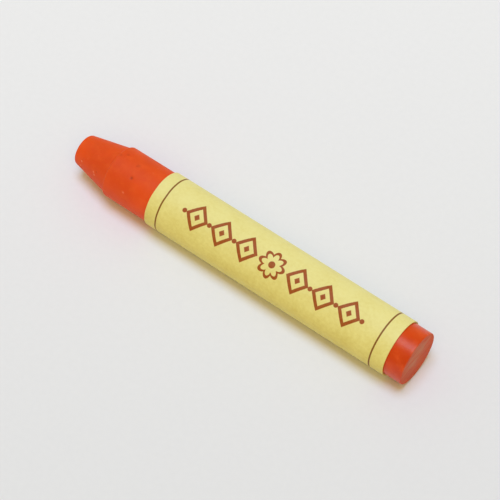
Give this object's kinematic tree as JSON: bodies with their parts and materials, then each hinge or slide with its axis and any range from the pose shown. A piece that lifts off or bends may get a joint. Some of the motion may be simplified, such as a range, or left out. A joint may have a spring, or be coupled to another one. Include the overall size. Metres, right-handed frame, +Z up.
{
  "type": "wax stick crayon",
  "caption": "Round wax stick crayon with a blunt cone tip and a flat butt, in a rolled and glued paper label that slides along the barrel.",
  "frame": {"origin": "on the surface that the crayon lies on, under the middle of its length", "axes": "+X along the stick from the drawing tip to the butt, +Z up from the surface, with the label's seam underneath"},
  "size_m": [0.0864, 0.0126, 0.0126],
  "materials": {
    "wax": "satin",
    "paper": "matte",
    "glue": "matte"
  },
  "bodies": {
    "stick": {"wax_stick": "wax"},
    "label": {"paper_label": "paper", "label_glue": "glue"}
  },
  "joints": [
    {"name": "label_slide", "type": "slide", "parent": "stick", "child": "label", "axis": [1, 0, 0], "range_m": [-0.0829, 0.0654]}
  ]
}
